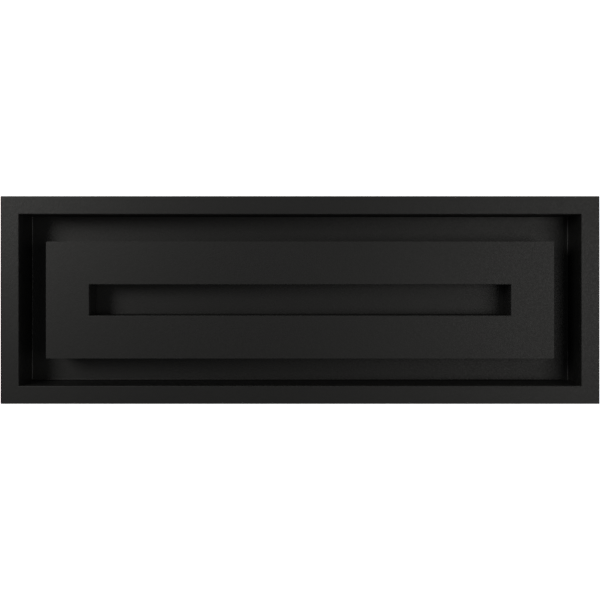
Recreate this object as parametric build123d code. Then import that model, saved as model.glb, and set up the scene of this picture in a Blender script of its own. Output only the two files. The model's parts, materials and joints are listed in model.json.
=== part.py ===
from build123d import *
from math import cos, radians, sin
import os

# Drop-in water-vapour fireplace insert. Millimetres, X along its length, Z up, and the origin under
# its middle where its feet stand. A tray with a wide rim hangs in a cut-out; a slotted cover lifts
# off the tray's deck; the tank, mist hood, fans and electronics sit in a casing below.

# ---- sizes that drive the rest -------------------------------------------------------------------
OVERALL_LENGTH = 1000.0
OVERALL_WIDTH = 347.0
DECK_HEIGHT = 160.0        # deck's top above the feet
RIM_BORDER = 30.0          # rim's visible width, all round the opening
MOAT = 46.0                # gap between the opening's edge and the cover
COVER_BORDER = 71.5        # cover's width beside and beyond its slot
DECK_DEPTH = 70.0          # rim's top down to the deck
SLOT_DEPTH = 52.0          # rim's top down to the nozzle bar
TRAY_SHEET = 2.0
CASE_SHEET = 1.5
FOOT_HEIGHT = 6.0

# ---- fits ----------------------------------------------------------------------------------------
NEAR = 0.01                # for finding edges by where they are
CURVE_GAP = 0.3            # between round faces of pieces that don't move on each other
RUNNING_GAP = 0.05         # radial, a shaft in its bearing
SLIDING_GAP = 0.1          # radial, a plunger in its guide
CASE_GAP = 0.5             # tray walls inside the casing

# ---- tray and cover ------------------------------------------------------------------------------
opening_length = OVERALL_LENGTH - 2 * RIM_BORDER
opening_width = OVERALL_WIDTH - 2 * RIM_BORDER
cover_length = opening_length - 2 * MOAT
cover_width = opening_width - 2 * MOAT
slot_length = cover_length - 2 * COVER_BORDER
slot_width = cover_width - 2 * COVER_BORDER
rim_top = DECK_HEIGHT + DECK_DEPTH
rim_under = rim_top - TRAY_SHEET
deck_top = DECK_HEIGHT
deck_under = deck_top - TRAY_SHEET
DECK_LEDGE = 6.0           # deck left inside the cover's skirt, which stands on it
BEND_RADIUS = 1.0
DECK_FILLET = 2.0
MIST_GAP = 4.0             # slot's walls end this far above the nozzle bar, to let the mist in

# ---- nozzle bar and its lights -------------------------------------------------------------------
nozzle_top = rim_top - SLOT_DEPTH
NOZZLE_THICKNESS = 3.0
NOZZLE_LAP = 2.0           # bar's reach under the slot's walls, all round
nozzle_under = nozzle_top - NOZZLE_THICKNESS
nozzle_half_length = slot_length / 2 + NOZZLE_LAP
nozzle_half_width = slot_width / 2 + NOZZLE_LAP
LIGHT_INNER_Y = 11.0
LIGHT_DEPTH = 10.0
LIGHT_HEIGHT = 10.0
LIGHT_WALL = 1.2
LIGHT_END_INSET = 9.5
LIGHT_COUNT = 40
LAMP_SIZE = 3.6
light_half_length = nozzle_half_length - LIGHT_END_INSET

# ---- casing and base -----------------------------------------------------------------------------
case_inner_x = opening_length / 2 + TRAY_SHEET + CASE_GAP
case_inner_y = opening_width / 2 + TRAY_SHEET + CASE_GAP
case_outer_x = case_inner_x + CASE_SHEET
case_outer_y = case_inner_y + CASE_SHEET
CASE_LIP = 15.0
BASE_SCREW_INSET = 32.5
BASE_SCREW_X = 150.0
BASE_SCREW_Y = 60.0
BASE_VENT_X = (-300.0, -150.0, 150.0, 300.0)
BASE_VENT_INSET = 46.0     # middle of the base's air slots from the casing's front wall
VENT_HALF_WIDTH = 1.5
base_top = FOOT_HEIGHT + CASE_SHEET
lip_top = base_top + CASE_SHEET
GASKET_THICKNESS = 2.0
GASKET_INSET = 2.0
FOOT_RADIUS = 12.0
FOOT_INSET_X = 42.5
FOOT_INSET_Y = 34.0
foot_x = case_inner_x - FOOT_INSET_X
foot_y = case_inner_y - FOOT_INSET_Y
foot_places = [(x, y) for x in (-foot_x, 0.0, foot_x) for y in (-foot_y, foot_y)]

# ---- screws --------------------------------------------------------------------------------------
SCREW_RADIUS = 2.0
SCREW_HOLE = SCREW_RADIUS + CURVE_GAP
SCREW_HEAD_RADIUS = 3.8
SCREW_HEAD_HEIGHT = 2.4
SCREW_SOCKET = 1.4
SHORT_SCREW = 10.0
LONG_SCREW = 20.0
BOARD_SCREW = 8.0

# ---- water tank and mist hood --------------------------------------------------------------------
TANK_MARGIN = 20.0         # tank's reach beyond each end of the slot
TANK_SIDE_MARGIN = 49.0    # and beyond each side of it
TANK_WALL = 3.0
TANK_FLOOR_UNDER = 24.0
TANK_FLOOR = 4.0
TANK_TOP = 88.0
FLANGE = 9.5
FLANGE_THICKNESS = 4.0
SEAL_THICKNESS = 1.0
HOOD_FLANGE = 3.0
HOOD_TOP = 140.0
CHIMNEY_MARGIN = 5.0       # chimney's inside, all round the slot's opening
CHIMNEY_LAP = 7.0          # chimney's top above the nozzle bar, round the slot's walls
RIB_THICKNESS = 3.0
RIB_DROP = 12.0            # ribs stay this far below the nozzle bar, to clear the lights
POST_HALF_WIDTH = 8.0
tank_half_length = slot_length / 2 + TANK_MARGIN
tank_half_width = slot_width / 2 + TANK_SIDE_MARGIN
tank_floor_top = TANK_FLOOR_UNDER + TANK_FLOOR
hood_under = TANK_TOP + SEAL_THICKNESS
chimney_inner_x = slot_length / 2 + CHIMNEY_MARGIN
chimney_inner_y = slot_width / 2 + CHIMNEY_MARGIN
chimney_top = nozzle_top + CHIMNEY_LAP
rib_top = nozzle_under - RIB_DROP
TRANSDUCER_COUNT = 6
TRANSDUCER_INSET = 82.5    # end transducers from the tank's ends
TRANSDUCER_RADIUS = 18.7
TRANSDUCER_FLANGE = 24.0
TRANSDUCER_UNDER = 18.0
DISC_RADIUS = 10.0
transducer_pitch = 2 * (tank_half_length - TRANSDUCER_INSET) / (TRANSDUCER_COUNT - 1)
transducer_x = [(i - (TRANSDUCER_COUNT - 1) / 2) * transducer_pitch for i in range(TRANSDUCER_COUNT)]
rib_x = [(a + b) / 2 for a, b in zip(transducer_x, transducer_x[1:])]
TANK_LEG_RADIUS = 7.0
tank_leg_x = tank_half_length - 22.0
tank_leg_y = tank_half_width - 15.0
tank_leg_places = [(x, y) for x in (-tank_leg_x, 0.0, tank_leg_x) for y in (-tank_leg_y, tank_leg_y)]
flange_y = tank_half_width + FLANGE / 2
flange_x = tank_half_length + FLANGE / 2
SIDE_SCREW_COUNT = 6
SIDE_SCREW_INSET = 42.5
END_SCREW_INSET = 23.0
side_screw_pitch = 2 * (tank_half_length - SIDE_SCREW_INSET) / (SIDE_SCREW_COUNT - 1)
side_screw_x = [(i - (SIDE_SCREW_COUNT - 1) / 2) * side_screw_pitch for i in range(SIDE_SCREW_COUNT)]
end_screw_y = tank_half_width - END_SCREW_INSET
hood_screw_places = [(x, side * flange_y) for x in side_screw_x for side in (-1, 1)]
hood_screw_places += [(side * flange_x, y) for side in (-1, 1) for y in (-end_screw_y, end_screw_y)]

# ---- fans and plenum -----------------------------------------------------------------------------
FAN_X = [-200.0, 0.0, 200.0]
FAN_SIZE = 60.0
FAN_DEPTH = 15.0
FAN_BORE = 28.5
FAN_Z = 124.0
FAN_SCREW_OFFSET = 25.0
FAN_SHAFT = 1.5
FAN_HUB = 12.0
FAN_BLADES = 7
BLADE_TILT = 35.0
PLENUM_HALF_LENGTH = 300.0
PLENUM_UNDER = 95.5
PLENUM_TOP = 153.5
PLENUM_GAP = 28.0          # plenum's back to the casing, where the fans stand
plenum_back = case_inner_y - PLENUM_GAP
HANGER_X = 250.0
HANGER_INSET = 22.0
WINDOW_HALF_LENGTH = 30.0
WINDOW_UNDER = 100.0
WINDOW_TOP = 134.0
GUARD_WIRE = 0.8

# ---- service panels at the two ends --------------------------------------------------------------
POCKET_DEPTH = 30.0
POCKET_HALF_WIDTH = 75.0
POCKET_UNDER = 24.0
POCKET_TOP = 134.0
PANEL_FLANGE = 9.0
PANEL_SCREW_Y = 60.0
panel_face = case_outer_x - POCKET_DEPTH

# ---- water connections ---------------------------------------------------------------------------
INLET_Y = -35.0
INLET_Z = 112.0
INLET_RADIUS = 13.2        # three-quarter inch pipe thread
INLET_REACH = 18.0         # inlet's end beyond the panel
NUT_THICKNESS = 5.0
RELIEF_WIDTH = 1.0         # groove between the nut and the hose's thread
RELIEF_DEPTH = 1.2
DRAIN_Y = 35.0
DRAIN_Z = 41.0
PIPE_RADIUS = 8.0
PIPE_BORE = 6.0
VALVE_HALF = 15.0
VALVE_GAP = 14.0           # valve's end to the panel's face, bridged by the inlet fitting
valve_x = panel_face - VALVE_GAP - VALVE_HALF
COIL_RADIUS = 14.0
PLUNGER_RADIUS = 4.5
TAP_RADIUS = 12.0
BALL_RADIUS = 8.4
STEM_RADIUS = 2.95
FLOAT_STEM = 4.0
float_x = tank_half_length - 27.5
float_y = chimney_inner_y + TANK_WALL + 16.0

# ---- power connections ---------------------------------------------------------------------------
MAINS_Z = 85.0
INLET_SCREW_Y = (-19.0, 19.0)
FUSE_Z = 68.5
SWITCH_Y = -45.0
SWITCH_Z = 79.0
ROCKER_ANGLE = 7.0
BUTTON_Y = 45.0
BUTTON_Z = 100.0

# ---- electronics along the front wall ------------------------------------------------------------
SUPPLY_X = (-345.0, -185.0)
SUPPLY_Y = (6.0 - case_inner_y, 48.0 - case_inner_y)
SUPPLY_Z = (9.0, 97.0)
BOARD_THICKNESS = 1.6
CORNER_INSET = 6.0
CONTROL_X = (-130.0, 20.0)
CONTROL_Z = (30.0, 120.0)
CONTROL_Y = 14.0 - case_inner_y
HEADER_FRONT = CONTROL_Y + 14.0
HEADER_MIDDLE = CONTROL_Y + 8.0
DRIVER_X = (120.0, 320.0)
DRIVER_Z = (44.0, 130.0)
SINK_Y = 18.0 - case_inner_y
DRIVER_Y = SINK_Y + 10.0
DRIVER_HEADER = DRIVER_Y + 8.0
TERMINAL_Y = SUPPLY_Y[0] + 21.0

# ---- where the leads run -------------------------------------------------------------------------
FAN_LOOM_Z = 58.0
MIST_LOOM_Z = 11.5
MIST_HEADER_X = 300.0
MIST_HEADER_Z = 41.0
fan_loom_y = plenum_back + 8.0
front_aisle = (SUPPLY_Y[1] - tank_half_width) / 2

# ---- fixing clamps -------------------------------------------------------------------------------
CLAMP_X = 330.0
CLAMP_SCREW_Z = 150.0
CLAMP_TRAVEL = 12.0
CLAMP_HALF_WIDTH = 14.0
CLAMP_REACH = 22.0
CLAMP_UNDER = 128.0
WORKTOP = 30.0             # thickness the clamps are set for
clamp_top = rim_under - WORKTOP
CLAMP_SHEET = 2.0

FACING = {
    "+z": Rot(0, 0, 0),
    "-z": Rot(180, 0, 0),
    "+x": Rot(0, 90, 0),
    "-x": Rot(0, -90, 0),
    "+y": Rot(-90, 0, 0),
    "-y": Rot(90, 0, 0),
}


# ---- helpers -------------------------------------------------------------------------------------
def block(x0, x1, y0, y1, z0, z1):
    """A box given by its limits on each axis."""
    size = Box(abs(x1 - x0), abs(y1 - y0), abs(z1 - z0))
    return Pos((x0 + x1) / 2, (y0 + y1) / 2, (z0 + z1) / 2) * size


def slab(half_length, half_width, z0, z1):
    """A box centred on the insert's upright axis, between two heights."""
    return block(-half_length, half_length, -half_width, half_width, z0, z1)


def rod(direction, radius, length, start):
    """A round bar that leaves a point in one of the six directions."""
    bar = Cylinder(radius, length, align=(Align.CENTER, Align.CENTER, Align.MIN))
    return Pos(*start) * FACING[direction] * bar


def hexagon_bar(direction, across_flats, length, start):
    """A hexagonal bar that leaves a point in one of the six directions."""
    outline = RegularPolygon(across_flats / 2, 6, major_radius=False)
    return Pos(*start) * FACING[direction] * extrude(outline, length)


def joined(pieces):
    """One part from many pieces; those that don't touch stay separate solids."""
    return Part() + list(pieces)


def rectangle_edges(part, half_length, half_width, z):
    """The four straight edges of a centred rectangle at one height."""
    def on_rectangle(edge):
        centre = edge.center()
        at_end = abs(abs(centre.X) - half_length) < NEAR and abs(centre.Y) < NEAR
        at_side = abs(abs(centre.Y) - half_width) < NEAR and abs(centre.X) < NEAR
        return abs(centre.Z - z) < NEAR and (at_end or at_side)
    return part.edges().filter_by(on_rectangle)


def screw(head_faces, length, head_at):
    """A socket screw whose head stands on a surface at head_at and faces one way."""
    head = Cylinder(SCREW_HEAD_RADIUS, SCREW_HEAD_HEIGHT, align=(Align.CENTER, Align.CENTER, Align.MIN))
    head = fillet(head.edges().filter_by(GeomType.CIRCLE).sort_by(Axis.Z)[-1], 0.8)
    shank = Cylinder(SCREW_RADIUS, length, align=(Align.CENTER, Align.CENTER, Align.MAX))
    socket_outline = RegularPolygon(SCREW_SOCKET, 6, major_radius=False)
    socket = Pos(0, 0, SCREW_HEAD_HEIGHT - 1.2) * extrude(socket_outline, 2.0)
    return Pos(*head_at) * FACING[head_faces] * (head + shank - socket)


def cable(points, radius, bend):
    """A round lead along straight runs with a round bend at each corner."""
    path = FilletPolyline(*points, radius=bend)
    first, second = Vector(*points[0]), Vector(*points[1])
    section = Plane(origin=first, z_dir=second - first) * Circle(radius)
    return sweep(section, path=path)


def save(part, node):
    """Writes one node's STEP file."""
    export_step(part, os.path.join("parts", node + ".step"))


# ---- the insert's face: tray, cover and nozzle bar -----------------------------------------------
def make_tray():
    """The rim, its four walls and the deck, folded and welded from one sheet."""
    half_x, half_y = opening_length / 2, opening_width / 2
    outer_x, outer_y = half_x + TRAY_SHEET, half_y + TRAY_SHEET
    rim = slab(OVERALL_LENGTH / 2, OVERALL_WIDTH / 2, rim_under, rim_top)
    rim = fillet(rim.edges().filter_by(Axis.Z), BEND_RADIUS)
    body = rim + slab(outer_x, outer_y, deck_under, rim_top)
    body -= slab(half_x, half_y, deck_top, rim_top)
    body = fillet(rectangle_edges(body, half_x, half_y, deck_top), DECK_FILLET)
    body = fillet(rectangle_edges(body, half_x, half_y, rim_top), BEND_RADIUS)
    aperture = slab(cover_length / 2 - DECK_LEDGE, cover_width / 2 - DECK_LEDGE, deck_under, deck_top)
    return body - aperture


def make_cover():
    """The lift-off cover: a shallow lid that stands on the deck, with a walled slot in its top."""
    half_x, half_y = cover_length / 2, cover_width / 2
    body = slab(half_x, half_y, deck_top, rim_top)
    body = fillet(body.edges().filter_by(Axis.Z), BEND_RADIUS)
    body -= slab(half_x - TRAY_SHEET, half_y - TRAY_SHEET, deck_top, rim_under)
    slot_x, slot_y = slot_length / 2, slot_width / 2
    wall_under = nozzle_top + MIST_GAP
    body += slab(slot_x + TRAY_SHEET, slot_y + TRAY_SHEET, wall_under, rim_top)
    body -= slab(slot_x, slot_y, wall_under, rim_top)
    return fillet(rectangle_edges(body, slot_x, slot_y, rim_top), BEND_RADIUS)


def make_nozzle_bar():
    """The slot's floor: a bar that the mist rises past, hidden under the slot's walls."""
    bar = slab(nozzle_half_length, nozzle_half_width, nozzle_under, nozzle_top)
    return fillet(bar.edges().group_by(Axis.Z)[-1], 0.6)


# ---- casing, base and what holds the insert in its cut-out ---------------------------------------
def base_screw_places():
    """Where the base plate is screwed to the casing's lips."""
    lip_middle = CASE_LIP / 2
    corner_x = case_inner_x - BASE_SCREW_INSET
    along = [(x, side * (case_inner_y - lip_middle))
             for x in (-corner_x, -BASE_SCREW_X, BASE_SCREW_X, corner_x) for side in (-1, 1)]
    ends = [(side * (case_inner_x - lip_middle), y)
            for side in (-1, 1) for y in (-BASE_SCREW_Y, BASE_SCREW_Y)]
    return along + ends


def clamp_places():
    """Corner signs of the four fixing clamps, each with its name."""
    sides = {"left": -1, "right": 1}
    rows = {"front": -1, "back": 1}
    return {f"clamp_{s}_{r}": (sides[s], rows[r]) for s in sides for r in rows}


def panel_screw_places(side):
    """Where a service panel's flange is screwed, on one end of the casing."""
    heights = (POCKET_UNDER - PANEL_FLANGE / 2, POCKET_TOP + PANEL_FLANGE / 2)
    return [(side * case_outer_x, y, z) for y in (-PANEL_SCREW_Y, PANEL_SCREW_Y) for z in heights]


def wall_slots(middle_x, count, pitch, row, z0, z1):
    """A row of upright air slots through the casing's front or back wall."""
    places = [middle_x + (i - (count - 1) / 2) * pitch for i in range(count)]
    near, far = row * (case_inner_y - 0.5), row * (case_outer_y + 0.5)
    return [block(x - VENT_HALF_WIDTH, x + VENT_HALF_WIDTH, near, far, z0, z1) for x in places]


def make_casing():
    """A sleeve of sheet steel with lips at the bottom, service windows and air slots."""
    walls = slab(case_outer_x, case_outer_y, base_top, rim_under)
    walls -= slab(case_inner_x, case_inner_y, lip_top, rim_under)
    walls -= slab(case_inner_x - CASE_LIP, case_inner_y - CASE_LIP, base_top, lip_top)
    cuts = [block(side * (case_inner_x - 0.5), side * (case_outer_x + 0.5), -POCKET_HALF_WIDTH,
                  POCKET_HALF_WIDTH, POCKET_UNDER, POCKET_TOP) for side in (-1, 1)]
    for fan_x in FAN_X:
        cuts += wall_slots(fan_x, 9, 6.0, 1, 100.0, 148.0)
    for span in (SUPPLY_X, CONTROL_X, DRIVER_X):
        cuts += wall_slots(sum(span) / 2, 13, 8.0, -1, 60.0, 100.0)
    cuts += [rod("+z", SCREW_HOLE, 3.0, (x, y, base_top - 0.5)) for x, y in base_screw_places()]
    for side in (-1, 1):
        facing = "+x" if side > 0 else "-x"
        for _, y, z in panel_screw_places(side):
            cuts.append(rod(facing, SCREW_HOLE, 4.0, (side * (case_inner_x - 1.0), y, z)))
    for side, row in clamp_places().values():
        facing = "+y" if row > 0 else "-y"
        start = (side * CLAMP_X, row * (case_inner_y - 1.0), CLAMP_SCREW_Z)
        cuts.append(rod(facing, SCREW_HOLE, 4.0, start))
    return walls - cuts


def make_base_plate():
    """The plate under the casing, with rows of air slots between the feet."""
    plate = slab(case_outer_x, case_outer_y, FOOT_HEIGHT, base_top)
    cuts = [rod("+z", SCREW_HOLE, 3.0, (x, y, FOOT_HEIGHT - 0.5)) for x, y in base_screw_places()]
    for x in BASE_VENT_X:
        for i in range(-3, 4):
            slot_y = i * 9.0 + BASE_VENT_INSET - case_inner_y
            cuts.append(block(x - 22, x + 22, slot_y - VENT_HALF_WIDTH, slot_y + VENT_HALF_WIDTH,
                              FOOT_HEIGHT - 0.5, base_top + 0.5))
    return plate - cuts


def make_feet():
    """Six rubber feet stuck under the base plate."""
    foot = Cylinder(FOOT_RADIUS, FOOT_HEIGHT, align=(Align.CENTER, Align.CENTER, Align.MIN))
    foot = fillet(foot.edges().filter_by(GeomType.CIRCLE).sort_by(Axis.Z)[0], 1.5)
    return joined(Pos(x, y, 0) * foot for x, y in foot_places)


def make_rim_gasket():
    """The foam strip between the rim and the worktop."""
    outer = slab(OVERALL_LENGTH / 2 - GASKET_INSET, OVERALL_WIDTH / 2 - GASKET_INSET,
                 rim_under - GASKET_THICKNESS, rim_under)
    inner = slab(case_outer_x + GASKET_INSET, case_outer_y + GASKET_INSET,
                 rim_under - GASKET_THICKNESS, rim_under)
    return outer - inner


def make_clamp(side, row):
    """An angle bracket that is slid up under the worktop and held by one screw in its slot."""
    wall, reach = case_outer_y, case_outer_y + CLAMP_REACH
    x0, x1 = side * CLAMP_X - CLAMP_HALF_WIDTH, side * CLAMP_X + CLAMP_HALF_WIDTH
    upright = block(x0, x1, row * wall, row * (wall + CLAMP_SHEET), CLAMP_UNDER, clamp_top)
    ledge = block(x0, x1, row * wall, row * reach, clamp_top - CLAMP_SHEET, clamp_top)
    slot_half = CLAMP_TRAVEL + SCREW_RADIUS + 1.0
    slot = block(side * CLAMP_X - SCREW_RADIUS - 0.6, side * CLAMP_X + SCREW_RADIUS + 0.6,
                 row * (wall - 1), row * (wall + CLAMP_SHEET + 1),
                 CLAMP_SCREW_Z - slot_half, CLAMP_SCREW_Z + slot_half)
    return upright + ledge - slot


# ---- water tank, transducers and mist hood -------------------------------------------------------
def flange_ring(z0, z1, inner_x, inner_y):
    """A flat ring with the tank flange's outline and screw holes."""
    ring = slab(tank_half_length + FLANGE, tank_half_width + FLANGE, z0, z1)
    ring -= slab(inner_x, inner_y, z0, z1)
    holes = [rod("+z", SCREW_HOLE, z1 - z0 + 1, (x, y, z0 - 0.5)) for x, y in hood_screw_places]
    return ring - holes


def make_tank():
    """The open-topped water tank, with legs and one hole in its floor for each transducer."""
    inner_x, inner_y = tank_half_length - TANK_WALL, tank_half_width - TANK_WALL
    body = slab(tank_half_length, tank_half_width, TANK_FLOOR_UNDER, TANK_TOP)
    body -= slab(inner_x, inner_y, tank_floor_top, TANK_TOP)
    body += flange_ring(TANK_TOP - FLANGE_THICKNESS, TANK_TOP, inner_x, inner_y)
    leg_height = TANK_FLOOR_UNDER - base_top
    body += [rod("+z", TANK_LEG_RADIUS, leg_height, (x, y, base_top)) for x, y in tank_leg_places]
    hole = TRANSDUCER_RADIUS + CURVE_GAP
    cuts = [rod("+z", hole, TANK_FLOOR + 1, (x, 0, TANK_FLOOR_UNDER - 0.5)) for x in transducer_x]
    cuts.append(rod("+x", PIPE_RADIUS + CURVE_GAP, 6, (inner_x - 1, DRAIN_Y, DRAIN_Z)))
    return body - cuts


def make_tank_seal():
    """The rubber sheet ring between tank and hood."""
    return flange_ring(TANK_TOP, hood_under, tank_half_length - TANK_WALL, tank_half_width - TANK_WALL)


def make_hood():
    """The hood over the tank: air windows at the back, and a ribbed chimney up to the slot."""
    inner_x, inner_y = tank_half_length - TANK_WALL, tank_half_width - TANK_WALL
    body = slab(tank_half_length, tank_half_width, hood_under, HOOD_TOP)
    body += flange_ring(hood_under, hood_under + HOOD_FLANGE, inner_x, inner_y)
    body += slab(chimney_inner_x + TANK_WALL, chimney_inner_y + TANK_WALL, HOOD_TOP, chimney_top)
    body -= slab(inner_x, inner_y, hood_under, HOOD_TOP - TANK_WALL)
    body -= slab(chimney_inner_x, chimney_inner_y, HOOD_TOP - TANK_WALL, chimney_top)
    half_rib = RIB_THICKNESS / 2
    for x in rib_x:
        body += block(x - half_rib, x + half_rib, -chimney_inner_y, chimney_inner_y,
                      HOOD_TOP - TANK_WALL, rib_top)
        body += block(x - half_rib, x + half_rib, -POST_HALF_WIDTH, POST_HALF_WIDTH, rib_top, nozzle_under)
    cuts = [block(x - WINDOW_HALF_LENGTH, x + WINDOW_HALF_LENGTH, inner_y - 1, tank_half_width + 1,
                  WINDOW_UNDER, WINDOW_TOP) for x in FAN_X]
    cuts.append(rod("+x", PIPE_RADIUS + CURVE_GAP, 6, (inner_x - 1, INLET_Y, INLET_Z)))
    cuts.append(rod("+z", FLOAT_STEM + CURVE_GAP, 6, (float_x, float_y, HOOD_TOP - TANK_WALL - 1)))
    light_middle = LIGHT_INNER_Y + LIGHT_DEPTH / 2
    for side in (-1, 1):
        start = (-chimney_inner_x - TANK_WALL - 1, side * light_middle, nozzle_under - LIGHT_HEIGHT / 2)
        cuts.append(rod("+x", 1.5 + CURVE_GAP, TANK_WALL + 2, start))
    return body - cuts


def make_transducer_body(x):
    """One transducer's housing, pushed up through the tank's floor."""
    flange_height = TANK_FLOOR_UNDER - TRANSDUCER_UNDER
    body = rod("+z", TRANSDUCER_FLANGE, flange_height, (x, 0, TRANSDUCER_UNDER))
    body += rod("+z", TRANSDUCER_RADIUS, 12.0, (x, 0, TRANSDUCER_UNDER))
    body += rod("-z", 4.0, 3.0, (x, 0, TRANSDUCER_UNDER))
    body -= rod("+z", DISC_RADIUS + CURVE_GAP, 4.0, (x, 0, tank_floor_top))
    return body


def make_transducer_nut(x):
    """The ring nut that holds one transducer from inside the tank."""
    body = rod("+z", TRANSDUCER_RADIUS + 5.0, 4.0, (x, 0, tank_floor_top))
    notches = [Pos(x, 0, tank_floor_top + 2) * Rot(0, 0, 60 * i) * Pos(TRANSDUCER_RADIUS + 5.0, 0, 0)
               * Box(3, 6, 5) for i in range(6)]
    return body - rod("+z", TRANSDUCER_RADIUS + CURVE_GAP, 5.0, (x, 0, tank_floor_top - 0.5)) - notches


def make_transducer_disc(x):
    """The ceramic disc that turns water to mist."""
    return rod("+z", DISC_RADIUS, 1.2, (x, 0, tank_floor_top))


def make_float_stem():
    """The level switch's stem, screwed into the hood's roof, with a clip ring under its float."""
    stem = rod("+z", FLOAT_STEM, 114.0, (float_x, float_y, 34.0))
    head = hexagon_bar("+z", 14.0, 8.0, (float_x, float_y, HOOD_TOP))
    clips = [rod("+z", 6.5, 1.5, (float_x, float_y, z)) for z in (37.0, 78.0)]
    return stem + head + clips


def make_float():
    """The float ring that slides on the stem."""
    ring = rod("+z", 12.0, 16.0, (float_x, float_y, 38.5))
    return ring - rod("+z", FLOAT_STEM + SLIDING_GAP, 18.0, (float_x, float_y, 37.5))


# ---- lights under the nozzle bar -----------------------------------------------------------------
def make_light_profile(side):
    """A channel that opens outwards, hung along one edge of the nozzle bar."""
    under = nozzle_under - LIGHT_HEIGHT
    inner, outer = side * LIGHT_INNER_Y, side * (LIGHT_INNER_Y + LIGHT_DEPTH)
    half = light_half_length
    channel = block(-half, half, inner, outer, under, nozzle_under)
    channel -= block(LIGHT_WALL - half, half - LIGHT_WALL, side * (LIGHT_INNER_Y + LIGHT_WALL), outer,
                     under + LIGHT_WALL, nozzle_under - LIGHT_WALL)
    middle = (LIGHT_INNER_Y + LIGHT_DEPTH / 2, nozzle_under - LIGHT_HEIGHT / 2)
    return channel - rod("+x", 1.5 + CURVE_GAP, 3.0, (-half - 1, side * middle[0], middle[1]))


def make_light_strip(side):
    """The circuit strip in the channel, with its row of lamps."""
    back = LIGHT_INNER_Y + LIGHT_WALL
    half = light_half_length - LIGHT_WALL - 5.0
    z0, z1 = nozzle_under - LIGHT_HEIGHT + LIGHT_WALL + 0.5, nozzle_under - LIGHT_WALL - 0.5
    strip = block(-half, half, side * back, side * (back + 1.2), z0, z1)
    middle = (z0 + z1) / 2
    pitch = 2 * half / LIGHT_COUNT
    lamps = [-half + pitch * (i + 0.5) for i in range(LIGHT_COUNT)]
    half_lamp = LAMP_SIZE / 2
    return strip + [block(x - half_lamp, x + half_lamp, side * (back + 1), side * (back + 2.6),
                          middle - half_lamp, middle + half_lamp) for x in lamps]


def make_light_diffuser(side):
    """The clear strip that closes the channel."""
    outer = LIGHT_INNER_Y + LIGHT_DEPTH
    half = light_half_length - LIGHT_WALL - 0.2
    return block(-half, half, side * (outer - 1.4), side * outer,
                 nozzle_under - LIGHT_HEIGHT + LIGHT_WALL, nozzle_under - LIGHT_WALL)


# ---- fans ----------------------------------------------------------------------------------------
def make_plenum():
    """The sheet box that leads the fans' air to the hood's windows."""
    front = tank_half_width + 0.3
    half = PLENUM_HALF_LENGTH
    body = block(-half, half, front, plenum_back, PLENUM_UNDER, PLENUM_TOP)
    body -= block(CASE_SHEET - half, half - CASE_SHEET, front + CASE_SHEET, plenum_back - CASE_SHEET,
                  PLENUM_UNDER + CASE_SHEET, PLENUM_TOP - CASE_SHEET)
    cuts = []
    for x in FAN_X:
        cuts.append(block(x - WINDOW_HALF_LENGTH, x + WINDOW_HALF_LENGTH, front - 1, front + 3,
                          WINDOW_UNDER, WINDOW_TOP))
        cuts.append(rod("+y", FAN_BORE - 1.5, 4.0, (x, plenum_back - 3.0, FAN_Z)))
        cuts += [rod("+y", SCREW_HOLE, 4.0, (x + dx, plenum_back - 3.0, FAN_Z + dz))
                 for dx, dz in fan_corners()]
    body -= cuts
    hanger_y = plenum_back - HANGER_INSET
    for x in (-HANGER_X, HANGER_X):
        body += block(x - 12, x + 12, hanger_y, hanger_y + CASE_SHEET, PLENUM_TOP - 0.5, deck_under)
        body += block(x - 12, x + 12, hanger_y, hanger_y + 16, deck_under - CASE_SHEET, deck_under)
    return body


def fan_corners():
    """A fan's four screws, measured from its middle."""
    reach = FAN_SCREW_OFFSET
    return [(dx, dz) for dx in (-reach, reach) for dz in (-reach, reach)]


def make_fan_frame(x):
    """A square fan frame with a hub plate on four struts and the rotor's shaft."""
    half = FAN_SIZE / 2
    frame = block(x - half, x + half, plenum_back, plenum_back + FAN_DEPTH, FAN_Z - half, FAN_Z + half)
    frame = fillet(frame.edges().filter_by(Axis.Y), 3.0)
    frame -= rod("+y", FAN_BORE, FAN_DEPTH + 2, (x, plenum_back - 1, FAN_Z))
    frame -= [rod("+y", SCREW_HOLE, FAN_DEPTH + 2, (x + dx, plenum_back - 1, FAN_Z + dz))
              for dx, dz in fan_corners()]
    reach = FAN_BORE + 0.5
    strut_end = plenum_back + 2.5
    frame += block(x - reach, x + reach, plenum_back, strut_end, FAN_Z - 1.5, FAN_Z + 1.5)
    frame += block(x - 1.5, x + 1.5, plenum_back, strut_end, FAN_Z - reach, FAN_Z + reach)
    frame += rod("+y", FAN_HUB, 3.0, (x, plenum_back, FAN_Z))
    return frame + rod("+y", FAN_SHAFT, 11.0, (x, plenum_back, FAN_Z))


def make_fan_rotor(x):
    """A hub cup with tilted blades, running on the frame's shaft."""
    back = plenum_back + 3.5
    hub = rod("+y", FAN_HUB, 10.5, (x, back, FAN_Z))
    hub -= rod("+y", FAN_HUB - 1.5, 9.0, (x, back - 0.5, FAN_Z))
    hub += rod("+y", 3.5, 9.5, (x, back, FAN_Z))
    blade_length = FAN_BORE - FAN_HUB
    blades = []
    for i in range(FAN_BLADES):
        turn = Rot(0, i * 360 / FAN_BLADES, 0)
        blade = turn * Pos(FAN_HUB + blade_length / 2 - 0.6, 0, 0) * Rot(BLADE_TILT, 0, 0)
        blades.append(Pos(x, back + 5.0, FAN_Z) * blade * Box(blade_length, 1.4, 13.0))
    rotor = hub + blades
    rotor &= rod("+y", FAN_BORE - 0.8, 12.0, (x, back, FAN_Z))
    return rotor - rod("+y", FAN_SHAFT + RUNNING_GAP, 8.5, (x, back - 0.5, FAN_Z))


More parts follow.
